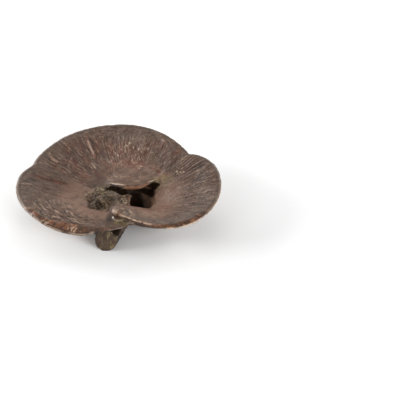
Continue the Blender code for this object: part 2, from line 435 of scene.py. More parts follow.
def lobe_points(lobe):
    """A lobe's upper face, as an array of ring, ray and coordinate, with each point's around and reach."""
    heart, rim = smooth_line(lobe["heart"], RAYS), smooth_line(lobe["rim"], RAYS)
    roll, rim = rim[:, 3], rim[:, :3]
    reach = (1 - (1 - np.linspace(0, 1, RINGS + 1)) ** RIM_CROWDING)[:, None]
    grid = heart + (rim - heart) * reach[..., None]
    curl = np.clip((reach - 1 + LIP_WIDTH) / LIP_WIDTH, 0, 1)
    grid[..., 2] = heart[:, 2] + (rim[:, 2] - heart[:, 2]) * reach ** lobe["rise"]
    grid[..., 2] -= roll * (1 - np.sqrt(1 - curl**2))
    around = np.concatenate([[0], np.cumsum(np.linalg.norm(np.diff(rim, axis=0), axis=1))])
    shape = grid.shape[:2]
    return grid + np.array(FRAME_SHIFT), np.broadcast_to(around, shape), np.broadcast_to(reach, shape)


def lobe_sheet(lobe, start):
    """A lobe's upper face as a sheet, which carries around and reach."""
    bpy.ops.mesh.primitive_grid_add(x_subdivisions=RAYS, y_subdivisions=RINGS, size=1)
    obj = bpy.context.object
    points, around, reach = lobe_points(lobe)
    obj.data.vertices.foreach_set("co", (points * MM).astype(np.float32).ravel())
    for label, numbers in (("around", around + start), ("reach", reach)):
        layer = obj.data.attributes.new(label, "FLOAT", "POINT")
        layer.data.foreach_set("value", numbers.astype(np.float32).ravel())
    return obj


def give_flesh(obj, flesh):
    """Makes a sheet solid downwards, thinner towards its rim."""
    group = obj.vertex_groups.new(name="flesh")
    for ring in range(RINGS + 1):
        row = range(ring * (RAYS + 1), (ring + 1) * (RAYS + 1))
        group.add(list(row), (1 - ring / RINGS) ** FLESH_TAPER, "REPLACE")
    middle, edge = flesh
    share = {"vertex_group": "flesh", "thickness_vertex_group": edge / middle}
    modify(obj, "SOLIDIFY", thickness=middle * MM, offset=-1, **share)


def placed(point):
    return (Vector(point) + Vector(FRAME_SHIFT)) * MM


def mound(centre, half):
    """An ellipsoid."""
    bpy.ops.mesh.primitive_uv_sphere_add(segments=64, ring_count=32, radius=1)
    obj = bpy.context.object
    size = Matrix.Diagonal((*[axis * MM for axis in half], 1))
    obj.data.transform(Matrix.Translation(placed(centre)) @ size)
    return obj


def stem_tube():
    """The stem, a round tube along its line, which runs on past the cut."""
    curve = bpy.data.curves.new("stem_line", "CURVE")
    curve.dimensions = "3D"
    curve.bevel_depth = MM
    curve.bevel_resolution = 8
    curve.use_fill_caps = True
    spline = curve.splines.new("BEZIER")
    spline.bezier_points.add(len(STEM_LINE) - 1)
    for knot, place, radius in zip(spline.bezier_points, STEM_LINE, STEM_RADII):
        knot.co = placed(place)
        knot.radius = radius
        knot.handle_left_type = knot.handle_right_type = "AUTO"
    line = new_object("stem_line", curve)
    mesh = mesh_of(line)
    bpy.data.objects.remove(line)
    bm = bmesh.new()
    bm.from_mesh(mesh)
    bmesh.ops.remove_doubles(bm, verts=bm.verts, dist=0.00001)
    bm.to_mesh(mesh)
    bm.free()
    return new_object("stem", mesh)


def cut_frame():
    """The stem's cut end as a matrix: its origin at the middle of the cut, its +Z out of the cut."""
    turn = math.radians(STEM_CUT_TURN)
    out = Vector((-math.sin(turn), -math.cos(turn), math.tan(math.radians(STEM_CUT_TILT))))
    return Matrix.Translation(placed(STEM_CUT_POINT)) @ out.to_track_quat("Z", "Y").to_matrix().to_4x4()


def box_cutter(low, high, where):
    """A box between two corners, in millimetres, in the frame of the matrix."""
    bpy.ops.mesh.primitive_cube_add(size=1)
    obj = bpy.context.object
    low, high = Vector(low) * MM, Vector(high) * MM
    obj.data.transform(where @ Matrix.Translation((low + high) / 2) @ Matrix.Diagonal((*(high - low), 1)))
    return obj


def joined(name, objects):
    """The objects' finished meshes side by side in one new object."""
    together = bmesh.new()
    for obj in objects:
        mesh = mesh_of(obj)
        together.from_mesh(mesh)
        bpy.data.meshes.remove(mesh)
    mesh = bpy.data.meshes.new(name)
    together.to_mesh(mesh)
    together.free()
    return new_object(name, mesh)


def one_skin(obj, size):
    """A voxel remesh, which makes whatever overlaps one closed skin."""
    modify(obj, "REMESH", mode="VOXEL", voxel_size=size)


def trim(obj, cutter):
    """Takes the cutter's shape out of the object."""
    modify(obj, "BOOLEAN", operation="DIFFERENCE", solver="MANIFOLD", object=cutter)


def soften(obj, rounds):
    modify(obj, "SMOOTH", factor=0.5, iterations=rounds)


def grown_form(grain):
    """The bare form at a fine grain, and the lobes' sheets joined as a guide for around and reach."""
    sheets = [lobe_sheet(lobe, LOBE_GAP_MM * i) for i, lobe in enumerate(LOBES.values())]
    guide = joined("lobe_guide", sheets)
    for sheet, lobe in zip(sheets, LOBES.values()):
        give_flesh(sheet, lobe["flesh"])
    solids = sheets + [mound(*mass) for mass in MASSES] + [stem_tube()]
    form = joined("form", solids)
    hollows = [mound(*hollow) for hollow in HOLLOWS]
    cutters = [
        box_cutter((-11, -11, 0), (11, 8.5, 16), cut_frame()),
        box_cutter((-120, -120, -40), (120, 120, 0), Matrix()),
    ]
    one_skin(form, grain)
    for hollow in hollows:
        trim(form, hollow)
    one_skin(form, grain)
    soften(form, round(SOFT_ROUNDS * (SOFT_GRAIN / grain) ** 2))
    for cutter in cutters:
        trim(form, cutter)
    one_skin(form, grain)
    soften(form, 2)
    mesh = mesh_of(form)
    forget(form, *solids, *hollows, *cutters)
    return new_object("bare_form", mesh), guide


# ---- ribs, zones and crust ----
def window(value, low, in_by, out_from, high, start=0):
    """1 between in_by and out_from, fading to 0 at low and high, which are all counted from start."""
    return value.rises(start + low, start + in_by) * value.falls(start + out_from, start + high)


def lines_along_rim(around, reach):
    """Where the growth lines run along the rim: the two front bands, and a little at the back rim."""
    left = window(around, 4, 22, 96, 116) * reach.rises(0.1, 0.3)
    right = window(around, 82, 104, 170, 190, RIGHT_MM)
    back = window(around, 30, 70, 200, 240, BACK_MM)
    return left.atleast(right).atleast(back * reach.rises(0.7, 0.86) * 0.75)


def radial_lines(t, around, reach, place, spacing_mm):
    """Ribs that run from the heart to the rim, broken and a little wavy. About -1 to 1."""
    wave = (t.noise(place, 150, 1) - 0.5) * 3.6
    across = (around + wave) / (spacing_mm * 0.58)
    run = reach * (4.5 - 2.7 * around.rises(RIGHT_MM - 20, RIGHT_MM))
    coarse = t.noise(t.triple(across, run, 3), 1, 1)
    fine = t.noise(t.triple(across * 2.1, run * 2, 8), 1, 1)
    return (coarse - 0.5) * 3.2 + (fine - 0.5) * 1.6


def rim_lines(t, around, reach, place):
    """Growth lines that run along the rim. About -1 to 1."""
    wave = (t.noise(place, 85, 2) - 0.5) * 0.16
    across = (reach + wave) * 17
    coarse = t.noise(t.triple(around / 11, across, 19), 1, 1)
    fine = t.noise(t.triple(around / 6, across * 2.3, 27), 1, 1)
    return (coarse - 0.5) * 3.4 + (fine - 0.5) * 1.4


def shelf_lines(t, place):
    """Growth lines that follow the inner shelf's rim, and fade out in the middle. About -1 to 1."""
    off = t.vector("SUBTRACT", place, tuple(placed((9.5, 15, 0))))
    x, y = t.part(off, "X") * 700, t.part(off, "Y") * 1000
    wave = (t.noise(place, 110, 2) - 0.5) * 4.5
    ring = (x * x + y * y) ** 0.5 + wave
    lines = t.noise(t.triple(x / 9, ring / 1.25, 33), 1, 2, 0.6)
    return (lines - 0.5) * 3.2 * ring.rises(5, 14)


def within_lobes(around):
    """1 on a lobe and 0 where around jumps from one lobe's numbers to the next one's."""
    inside = around.rises(SHELF_MM - 1, SHELF_MM)
    for start, rim_mm in ((0, 146), (BACK_MM, 166), (RIGHT_MM, 158)):
        inside = inside.atleast(window(around, -0.5, 3, rim_mm - 3, rim_mm + 0.5, start))
    return inside


def boldness(t, around, reach, place):
    """How strongly the lines show: most on the front of the left lobe and the outer right lobe."""
    left = window(around, 30, 55, 98, 118) * window(reach, 0.2, 0.38, 0.78, 0.9)
    right = window(around, -30, 0, 72, 95, RIGHT_MM) * window(reach, 0.36, 0.5, 0.86, 0.94)
    back = window(around, -60, 0, 200, 240, BACK_MM)
    patchy = t.noise(place, 60, 2).rises(0.38, 0.6)
    strength = 0.4 + 0.8 * left.atleast(0.7 * right) + 0.5 * back * patchy + 0.15 * patchy
    return strength * within_lobes(around)


def stem_masks(t, position):
    """The stem's cut end, and the stem itself."""
    x, y, z = (t.part(position, axis) for axis in "XYZ")
    middle, out = placed(STEM_CUT_POINT), cut_frame().col[2].to_3d()
    from_cut = t.vector("SUBTRACT", position, tuple(middle))
    depth = abs(t.vector("DOT_PRODUCT", from_cut, tuple(out), "Value"))
    away = t.vector("LENGTH", from_cut, out="Value")
    stem_x = (y - middle.y) * 0.3 + middle.x
    beside = t.vector("LENGTH", t.triple(x - stem_x, 0, z - middle.z), out="Value")
    return {
        "cut": depth.falls(0.0004, 0.0011) * away.falls(0.0092, 0.0112),
        "stem": beside.falls(0.0088, 0.0101) * y.falls(-0.026, -0.019),
    }


def place_masks(t, position, normal):
    """Where each kind of surface lies, and where shade is painted, as a value from 0 to 1 by its name."""
    z = t.part(position, "Z")
    ragged = (t.noise(position, 190, 4, 0.6) - 0.5) * 1.1

    def blob(*centre_and_half):
        return t.blob(position, *centre_and_half)

    # painted shadow under the shelf: on its underside, in the gap below it and in the slit at its right end
    shut = blob((-4.8, -5.2, 17.6), (6.6, 4, 2.8)).atleast(blob((4.5, -8.6, 17), (8.6, 4.6, 3.2)))
    shut = shut.rises(0, 0.25) * z.falls(0.0186, 0.0194)
    shelf_face = t.read("around").rises(SHELF_FROM_MM - 1, SHELF_FROM_MM) * z.rises(0.0186, 0.0194)
    crust = (blob((-6, -11.5, 14.5), (21, 15, 12)) + ragged).rises(0, 0.35)
    deep = blob((11.5, -12.5, 9.5), (9.2, 12.6, 9.5)).rises(-0.02, 0.2)
    gap = blob((15.2, -6.6, 15.4), (12.5, 7.4, 5.8)).rises(0, 0.25) * z.falls(0.0188, 0.0196)
    slit = blob((22.5, -3.4, 18.2), (5.8, 3, 2.8)).atleast(blob((25.5, -1.6, 19.2), (4.6, 2.4, 2.4)))
    gap = gap.atleast(slit.rises(0, 0.3) * z.falls(0.0199, 0.0207))
    # painted shadow in the gap between the left lobe's lip and the stem
    over_stem = blob((0.5, -47, 12.8), (4.6, 4.8, 3)).rises(0, 0.5)
    crease = (blob((31.5, 0, 21.5), (11, 7, 7)) + ragged * 1.2).rises(0, 0.45)
    patch = (blob((3.6, -42.5, 15.6), (6.6, 5.2, 5)) + ragged).rises(0.05, 0.4)
    return {
        **stem_masks(t, position),
        "crust": crust * (1 - shut) * (1 - shelf_face),
        # painted shade: the hole, the gaps under the shelf and the gap over the stem
        "throat": deep.atleast(gap).atleast(shut * 0.96).atleast(over_stem * 0.85),
        "side": blob((18.5, -14, 13), (9, 12, 8)).rises(-0.05, 0.12),
        "pocket": (blob((-16, -18.5, 12.5), (9, 4.2, 3.4)) + ragged * 0.5).rises(0, 0.4),
        "under": (0 - t.part(normal, "Z")).rises(0.1, 0.5),
        "moss": crease.atleast(patch),
        "ledge": blob((9, 4, 22), (29, 21, 9)).rises(0, 0.3),
    }


def growth_tree():
    """Writes the masks that the finishes read, and raises the ribs, folds, zones and crust."""
    heights = ("Rib spacing", "Rib height", "Fold height", "Zone height", "Crust height")
    t = GeometryTree("growth", (("Guide", "Object"), *((name, "Float") for name in heights)))
    position = t.add("GeometryNodeInputPosition")
    root = t.blob(position, (9, 14, 22), (28, 12, 9)).rises(0, 0.45)
    root = root.atleast(t.blob(position, (40, 13.5, 27), (11, 10, 9)).rises(0, 0.45))
    sockets = {"Value": position, "Iterations": ROOT_BLUR}
    settled = t.add("GeometryNodeBlurAttribute", {"data_type": "FLOAT_VECTOR"}, sockets, "Value")
    settled = t.vector("ADD", position, t.scaled(t.vector("SUBTRACT", settled, position), root))
    sockets = {"Geometry": t.given("Geometry"), "Position": settled}
    geometry = t.add("GeometryNodeSetPosition", None, sockets)
    normal = t.add("GeometryNodeInputNormal")
    guide = t.add("GeometryNodeObjectInfo", None, {"Object": t.given("Guide")}, "Geometry")

    def follow(value, kind="FLOAT"):
        """The guide's value at the nearest place on it."""
        sockets = {"Mesh": guide, "Value": value, "Sample Position": position}
        return t.add("GeometryNodeSampleNearestSurface", {"data_type": kind}, sockets, "Value")

    z = t.part(position, "Z")
    geometry = t.write(geometry, "around", follow(t.read("around")))
    geometry = t.write(geometry, "reach", follow(t.read("reach")))
    geometry = t.write(geometry, "drop", (t.part(follow(position, "FLOAT_VECTOR"), "Z") - z) / MM)
    around, reach = t.read("around"), t.read("reach")
    masks = place_masks(t, position, normal)
    crack = abs(around - (138 - 7.5 * reach)).falls(0.8, 3.4)
    masks["crack"] = crack * window(reach, 0.26, 0.45, 0.72, 0.9)
    # the pleat, a fold on the back lobe, which the finish gives a painted shadow and a painted highlight
    pleat = abs(around - (BACK_MM + 52 + 6 * reach)).falls(0.2, 1.7)
    masks["pleat"] = pleat * window(reach, 0.42, 0.55, 0.72, 0.85)
    for name, mask in masks.items():
        geometry = t.write(geometry, name, mask)
    crust, ledge, stem, cut, under = t.read_all("crust ledge stem cut under")
    throat, side, crack, pleat = t.read_all("throat side crack pleat")

    hole = throat.atleast(side)
    bare = (1 - crust) * (1 - stem) * (1 - hole) * (1 - cut) * (1 - under)
    open_face = bare * reach.rises(0.08, 0.4) * (1 - 0.8 * reach.rises(0.88, 0.98)) * (1 - ledge)
    along = lines_along_rim(around, reach)
    lined = open_face * boldness(t, around, reach, position)
    rib = radial_lines(t, around, reach, position, t.given("Rib spacing") / MM) * (1 - along) * lined
    zone = rim_lines(t, around, reach, position) * along * lined
    zone = zone + shelf_lines(t, position) * ledge * bare * 0.8
    fold = (t.noise(t.triple(around / 15, reach * 0.9, 11), 1, 1) - 0.5) * 3
    fold = fold * window(reach, 0.2, 0.6, 0.8, 1.05) * (1 - 0.6 * along)
    knob = t.blob(position, (-1.5, -13, 18), (4.4, 4, 4.5)).rises(0, 0.7)
    grit = (t.noise(position, 130, 2, 0.55) - 0.46) * 3.4 + (t.noise(position, 420, 2) - 0.5) * 0.9
    height = (
        rib * t.given("Rib height")
        + fold * bare * t.given("Fold height")
        + zone * t.given("Zone height")
        + (t.noise(position, 95, 2) - 0.5) * 0.0009
        + (grit + 0.7 * knob) * crust * t.given("Crust height")
        + (t.noise(position, 300, 3, 0.6) - 0.5) * hole * 0.003
        - crack * 0.0007
        + pleat * 0.0012
    )
    height = height * z.rises(0.0003, 0.0025) * (1 - 0.85 * cut)
    moved = t.vector("ADD", position, t.scaled(normal, height))
    on_table = t.triple(t.part(moved, "X"), t.part(moved, "Y"), t.part(moved, "Z").atleast(0))
    t.finish(t.add("GeometryNodeSetPosition", None, {"Geometry": geometry, "Position": on_table}))
    return t


def crumb_tree():
    """Scatters crumbs of crust over the knolls and in the mossy creases."""
    t = GeometryTree("crumbs", (("Density", "Float"), ("Crumb", "Float"), ("Seed", "Int")))
    up = t.part(t.add("GeometryNodeInputNormal"), "Z").rises(0, 0.5)
    clumps = t.noise(t.add("GeometryNodeInputPosition"), 130, 2).rises(0.46, 0.56)
    wanted = (t.read("crust").rises(0.35, 0.9) * clumps + 0.25 * t.read("moss").rises(0.3, 0.8)) * up
    wanted = wanted * (1 - t.read("throat"))
    sockets = {"Mesh": t.given("Geometry"), "Density": wanted * t.given("Density"), "Seed": t.given("Seed")}
    points = t.add("GeometryNodeDistributePointsOnFaces", None, sockets, "Points")
    ball = t.add("GeometryNodeMeshIcoSphere", None, {"Radius": t.given("Crumb"), "Subdivisions": 2}, "Mesh")
    dented = t.noise(t.add("GeometryNodeInputPosition"), 900, 1)
    shove = t.scaled(t.add("GeometryNodeInputNormal"), (dented - 0.5) * 0.0011)
    stone = t.add("GeometryNodeSetPosition", None, {"Geometry": ball, "Offset": shove})

    def spread(low, high, salt, kind="FLOAT_VECTOR"):
        sockets = {"Min": low, "Max": high, "Seed": salt}
        return t.add("FunctionNodeRandomValue", {"data_type": kind}, sockets, "Value")

    turn = spread((0, 0, 0), (6.28, 6.28, 6.28), 3)
    size = t.scaled(spread((0.6, 0.6, 0.4), (1.15, 1.15, 0.8), 5), spread(0.28, 1, 9, "FLOAT"))
    sockets = {"Points": points, "Instance": stone, "Rotation": turn, "Scale": size}
    t.finish(t.add("GeometryNodeInstanceOnPoints", None, sockets))
    return t


# ---- finishes ----
class Finish(Tree):
    """A material whose sockets that vary are fed by expressions."""

    def __init__(self, name):
        self.material = bpy.data.materials.new(name)
        self.material.use_nodes = True
        super().__init__(self.material.node_tree)
        self.shader = self.nodes.nodes["Principled BSDF"]
        self.place = self.add("ShaderNodeTexCoord", None, None, "Object")

    def read(self, name):
        return self.add("ShaderNodeAttribute", {"attribute_name": name}, None, "Fac")

    def near(self, centre_mm, half_mm, full):
        """1 in the middle of an ellipsoid, fading to 0 at its skin."""
        return self.blob(self.place, centre_mm, half_mm).rises(0, full)

    def feed(self, **sockets):
        for name, value in sockets.items():
            self.nodes.links.new(value.socket, self.shader.inputs[name.replace("_", " ")])

    def bump(self, height, strength, distance):
        sockets = {"Height": height, "Strength": strength, "Distance": distance}
        self.feed(Normal=self.add("ShaderNodeBump", None, sockets))


def tints(colours, names):
    """The user's colours, ready for a socket."""
    return ((*getattr(colours, name), 1) for name in names.split())


def crust_finish(c, rib_spacing):
    """The lacquered crust of the cap, with its ribs, zones, rims partly worn and partly painted with
    highlights, crusted knolls, pores and cut end, and painted shade in the hole and the gaps.
    """
    t = Finish("lacquered_crust")
    around, reach, drop, ledge, crack, pleat = t.read_all("around reach drop ledge crack pleat")
    crust, moss_at, under, stem, cut, side = t.read_all("crust moss under stem cut side")
    brown, inner, red, amber, grey, groove, ridge = tints(c, "brown inner red amber grey groove ridge")
    worn, olive, moss, shade_black, bark, wood, pore = tints(c, "worn olive moss throat stem cut pores")

    # noises: on the surface's own two numbers first, then in space, from coarse to fine
    along, whole = lines_along_rim(around, reach), within_lobes(around)
    hair = (t.noise(t.triple(around / 0.55, reach * 7, 2), 1, 2, 0.6) - 0.5) * whole + 0.5
    hair_along = t.noise(t.triple(around / 4.5, reach * 60, 4), 1, 2, 0.6)
    wide_hair = t.noise(t.triple(around / 1.7, reach * 5, 51), 1, 2, 0.6)
    pale = t.noise(t.triple(around / 1.5, reach * 13, 31), 1, 2, 0.6)
    streak = t.noise(t.triple(around / 6.5, reach * 2.2, 9), 1, 2)
    smear = t.noise(t.triple(around / 9, reach * 1.5, 41), 1, 2)
    cloud = t.noise(t.place, 28, 2)
    blotch = t.noise(t.place, 70, 3, 0.6)
    lumps = t.noise(t.place, 120, 2)
    mottle = t.noise(t.place, 210, 3, 0.65)
    speck = t.noise(t.place, 620, 2, 0.6)
    grit, fine_grit, broad_grit = mottle * 0.6 + speck * 0.4, (mottle + speck) * 0.5, (blotch + speck) * 0.5
    radial = radial_lines(t, around, reach, t.place, rib_spacing / MM) * reach.rises(0.02, 0.35)
    line = radial * (1 - along) + rim_lines(t, around, reach, t.place) * along
    line = line * boldness(t, around, reach, t.place)
    line = line * (1 - ledge) + shelf_lines(t, t.place) * ledge * 1.1
    line = line + (hair - 0.5) * 0.9 * (1 - along) * (1 - ledge) + (hair_along - 0.5) * 1 * along

    # the dish and the back, with their lines
    shelf = around.rises(SHELF_FROM_MM - 1, SHELF_FROM_MM)
    back = window(around, -80, 0, 200, 250, BACK_MM).atleast(shelf)
    dusky = cloud.falls(0.4, 0.5) * window(reach, 0.3, 0.5, 2, 3)
    reds = (streak * 0.5 * (1 - shelf) + blotch * (0.5 + 0.5 * shelf)).rises(0.47, 0.58)
    reds = reds * reach.rises(0.05, 0.3).atleast(shelf) * reach.falls(0.8, 0.95)
    grey_area = (streak * 0.4 + cloud * 0.6).rises(0.45, 0.58) * reach.rises(0.5, 0.85) * (1 - shelf)
    carved = window(around, -20, 1, 60, 85, RIGHT_MM) * window(reach, 0.35, 0.5, 0.84, 0.92)
    flecked = window(around, 55, 80, 112, 135, BACK_MM) * window(reach, 0.15, 0.3, 0.6, 0.8)
    flecked = flecked.atleast(0.35 * back * window(reach, 0.1, 0.2, 0.55, 0.75))
    # a darker patch on the left lobe
    dark_patch = t.near((-64.5, -1, 24.5), (10, 11, 7), 0.7)
    flushed = window(around, 15, 40, 100, 125, RIGHT_MM) * window(reach, 0.02, 0.1, 0.35, 0.55)
    plum = window(around, 5, 20, 60, 75, RIGHT_MM) * window(reach, 0.82, 0.87, 0.91, 0.94)
    thread = (wide_hair * (1 - along) + hair_along * along) * 0.65 + speck * 0.35
    plain_face = whole * (1 - ledge) * (0.25 + 0.75 * reach.rises(0.35, 0.65))
    plain_face = plain_face * (0.35 + 0.65 * blotch.rises(0.4, 0.56))
    skin = t.coats(
        inner,
        (brown, reach.rises(0.15, 0.6).atleast(back)),
        (groove, back * window(reach, -1, -0.5, 0.6, 0.9) * 0.3),
        (inner, ledge * 0.45),
        # painted light: the fronts of the right lobe and the left lobe made lighter
        (ridge, t.near((26, -38, 21.5), (17, 8, 6), 0.6) * 0.35),
        (ridge, t.near((-36, -24, 17.5), (28, 22, 9), 0.6) * 0.2),
        (groove, dusky * 0.28),
        (red, reds * (0.3 + 0.35 * back)),
        (grey, grey_area * 0.75),
        (brown, back * reach.rises(0.72, 0.9) * 0.55),
        (groove, line.falls(-0.8, 0.05) * 0.8),
        (groove, line.falls(-0.5, 0) * carved * 0.7),
        (groove, mottle.falls(0.34, 0.5) * 0.45),
        # the rib crests paler: partly their own tone, partly painted highlight
        (ridge, line.rises(0.1, 0.9) * 0.75),
        (worn, line.rises(0.7, 1.4) * mottle.rises(0.48, 0.6) * 0.6),
        (t.mix(red, ridge, mottle.rises(0.45, 0.65)), flecked * 0.3),
        (worn, (pale + 0.35 * (mottle - 0.5)).rises(0.57, 0.75) * flecked * 0.75),
        (groove, dark_patch * (mottle * 0.5 + streak * 0.5).falls(0.46, 0.58) * 0.55),
        (red, flushed * grit.rises(0.5, 0.6) * 0.45),
        (ridge, flushed * fine_grit.falls(0.4, 0.48) * 0.4),
        (t.mix(groove, red, 0.5), plum * 0.35),
        (t.mix(groove, red, mottle.rises(0.4, 0.6)), crack * 0.9),
        (groove, thread.falls(0.4, 0.5) * plain_face * 0.5),
        (ridge, thread.rises(0.53, 0.63) * plain_face * 0.45),
        # the pleat: painted shadow in dark red along it, and a painted highlight on its top
        (red, pleat.rises(0.02, 0.3) * 0.7),
        (worn, pleat.rises(0.5, 0.95) * 0.42),
    )

    # the lip: lacquered at the front, amber on the shelf, grey with a painted sheen elsewhere, and pale in
    # places, partly rubbed and partly painted highlight
    left_roll = window(around, 14, 34, 84, 100)
    right_roll = window(around, 76, 90, 200, 220, RIGHT_MM)
    front = left_roll.atleast(right_roll)
    near_tip = around.rises(RIGHT_MM + 114, RIGHT_MM + 126)
    lacquer = t.coats(
        t.mix(amber, red, blotch.rises(0.5, 0.68) * 0.8),
        (groove, (wide_hair * 0.3 + mottle * 0.4 + blotch * 0.3).falls(0.42, 0.55) * 0.95),
        (ridge, (wide_hair * 0.35 + mottle * 0.65).rises(0.55, 0.66) * 0.5),
        (t.mix(inner, ridge, mottle.rises(0.42, 0.6) * 0.8), near_tip * reach.falls(0.93, 0.95)),
        (groove, near_tip * reach.rises(0.965, 0.985) * 0.8),
    )
    lip = reach + 0.12 * window(around, 26, 38, 60, 78) + 0.08 * (mottle - 0.5)
    lip = front * lip.rises(0.87, 0.92)
    shelf_amber = window(around, 6, 11, 25, 32, SHELF_MM)
    orange = t.mix(amber, ridge, mottle.rises(0.46, 0.62) * 0.35)
    plain_rim = (1 - front) * (1 - shelf)
    crest = window(reach, 0.915, 0.935, 0.945, 0.965) * right_roll
    crest = crest * around.rises(RIGHT_MM + 122, RIGHT_MM + 134) * 0.8
    crest = crest * (mottle * 0.6 + hair * 0.4).rises(0.42, 0.54)
    rubbed_and_highlit = reach.rises(0.9, 0.97) * (smear * 0.35 + mottle * 0.45 + hair * 0.2).rises(0.55, 0.66)
    rubbed_and_highlit = rubbed_and_highlit * front * (1 - near_tip)
    low_edge = reach.rises(0.975, 0.99) * drop.falls(0.9, 1.8) * (smear * 0.5 + mottle * 0.5).rises(0.4, 0.52)
    low_edge = low_edge * (window(around, 50, 66, 112, 122, RIGHT_MM) + 0.4 * left_roll)
    shadow_line = left_roll * window(reach, 0.955, 0.97, 1.5, 2) * drop.falls(0.5, 1.1)
    broken = (wide_hair * 0.4 + mottle * 0.15 + speck * 0.45).rises(0.5, 0.6)
    skin = t.coats(
        skin,
        (lacquer, lip * (0.6 + 0.4 * cloud.rises(0.35, 0.55))),
        (t.mix(groove, orange, shelf_amber), shelf * reach.rises(0.91, 0.935) * 0.9),
        (worn, shelf * (1 - shelf_amber) * window(reach, 0.86, 0.88, 0.905, 0.93) * 0.55),
        (groove, plain_rim * window(reach, 0.905, 0.925, 0.94, 0.96) * mottle.rises(0.36, 0.5) * 0.5),
        # the plain rims grey: partly their own grey, partly painted sheen where the rim rolls over
        (t.mix(grey, ridge, 0.25), plain_rim * reach.rises(0.945, 0.97) * 0.75),
        (groove, shadow_line * 0.7),
        # the lip's crest, edges and pale patches: partly wear, partly painted highlight
        (worn, crest.atleast(rubbed_and_highlit * 0.7).atleast(low_edge * 0.75)),
        *((worn, t.near(centre, half, 0.5) * broken * share) for centre, half, share in RUBBED_AND_HIGHLIT_SPOTS),
    )

    # the tip of the right lobe with its painted highlights, the painted shadow under it, the mossy creases
    # with painted shade where they drop deepest, and the knolls with painted highlights and shade
    tip = t.near((0, -37.5, 25), (6, 4.5, 3), 0.5)
    rolled = t.near((6, -39.5, 24.5), (11, 5.5, 4.5), 0.5)
    tip_shadow = t.near((3, -43.5, 14.5), (7, 5, 4.6), 0.5)
    # the knolls: olive, with painted highlights on the lumps and painted shade in the pits, both laid by
    # noise
    knoll = t.coats(
        olive,
        (ridge, grit.rises(0.52, 0.68) * 0.8),
        (moss, broad_grit.rises(0.56, 0.68) * 0.5),
        (shade_black, (mottle * 0.7 + speck * 0.3).falls(0.42, 0.52) * 0.8),
        (groove, t.near((3, -13, 18), (9, 8, 6), 0.6) * 0.45),
        (grey, blotch.falls(0.4, 0.5) * 0.5),
        (shade_black, lumps.falls(0.36, 0.46) * 0.8),
        (t.mix(worn, moss, 0.5), broad_grit.rises(0.55, 0.63) * 0.7),
    )
    hollow = t.mix(olive, moss, 0.3)
    hollow = t.mix(groove, hollow, fine_grit.rises(0.48, 0.64) * 0.8)
    skin = t.coats(
        skin,
        # the tip and its rolled lip paler: partly their own pinkish tone, partly painted highlight
        (t.mix(inner, worn, mottle.rises(0.42, 0.62) * 0.5), tip * 0.6),
        (t.mix(inner, worn, 0.4), rolled * (mottle * 0.6 + blotch * 0.4).rises(0.46, 0.58) * 0.55),
        (WHITE_DOT_TINT, t.near((-2.6, -37, 17.4), (0.9, 0.9, 2.2), 0.4)),
        (moss, moss_at * (blotch * 0.4 + speck * 0.3 + mottle * 0.3).rises(0.36, 0.54) * 0.55),
        # painted shadow on the left lobe under the right lobe's tip
        (groove, tip_shadow * grit.falls(0.5, 0.6) * 0.85),
        # painted shade: the mossy creases darker where they drop deepest
        (groove, moss_at * drop.rises(0.8, 2) * mottle.falls(0.48, 0.6) * 0.9),
        (knoll, crust * 0.9),
        (hollow, t.read("pocket") * 0.92),
    )

    # the pored underside, the stem, its cut end, and the painted shade in the hole
    pores = t.cells(t.place, 1500)
    pored = t.mix(pore, brown, (blotch * 0.5 + cloud * 0.5).rises(0.42, 0.6))
    fibre = t.noise(t.vector("MULTIPLY", t.place, (900, 220, 170)), 1, 3, 0.6)
    sawn = t.coats(
        wood,
        (groove, (fibre * 0.6 + mottle * 0.4).rises(0.46, 0.6) * 0.85),
        (moss, (fibre * 0.5 + mottle * 0.5).falls(0.37, 0.46) * 0.7),
        (bark, t.blob(t.place, STEM_CUT_POINT, (8.8, 8.8, 8.8)).falls(0.03, 0.16) * 0.8),
    )
    barky = t.coats(
        bark,
        (groove, mottle.rises(0.42, 0.56) * 0.75),
        (ridge, fine_grit.rises(0.58, 0.7) * 0.5),
    )
    # a paler corner of the cut, in the pale cream
    pale_cut_corner = t.near((-1.5, -49, 12.5), (4, 4, 5), 0.4)
    wall = t.mix(t.mix(red, pore, 0.45), olive, (mottle * 0.5 + blotch * 0.5).rises(0.46, 0.6) * 0.7)
    skin = t.coats(
        skin,
        (t.mix(pored, groove, pores.falls(0.1, 0.32) * 0.5), under * drop.rises(2, 4.5)),
        (barky, stem * 0.9),
        (sawn, cut),
        (worn, window(cut, 0.15, 0.4, 0.6, 0.85) * pale_cut_corner * 0.6),
        (wall, side),
        # painted shade, near-black, over the hole and the gaps
        (shade_black, t.read("throat")),
    )

    dull = crust.atleast(under).atleast(cut).atleast(stem).atleast(side)
    rough = 0.5 + 0.3 * (mottle - 0.5) + 0.35 * dull - 0.14 * lip
    t.feed(Base_Color=skin, Roughness=rough, Coat_Weight=0.1 * (1 - dull) + 0.1 * lip)
    t.shader.inputs["Coat Roughness"].default_value = 0.25
    t.shader.inputs["Specular IOR Level"].default_value = 0.45
    relief = (
        line * 0.22 * (1 - dull)
        + (mottle - 0.5) * (0.8 + 1 * dull)
        + (speck - 0.5) * (0.3 + 0.7 * dull)
        + pores.rises(0, 0.35) * under * 0.5
    )
    t.bump(relief, 0.85, 0.0009)
    # where shade is painted, a matt black with no gloss
    matt = t.add("ShaderNodeBsdfDiffuse", None, {"Color": shade_black})
    lit = Value(t, t.shader.outputs["BSDF"])
    mixed = t.add("ShaderNodeMixShader", None, {0: t.read("throat"), 1: lit, 2: matt})
    t.nodes.links.new(mixed.socket, t.nodes.nodes["Material Output"].inputs["Surface"])
    return t.material


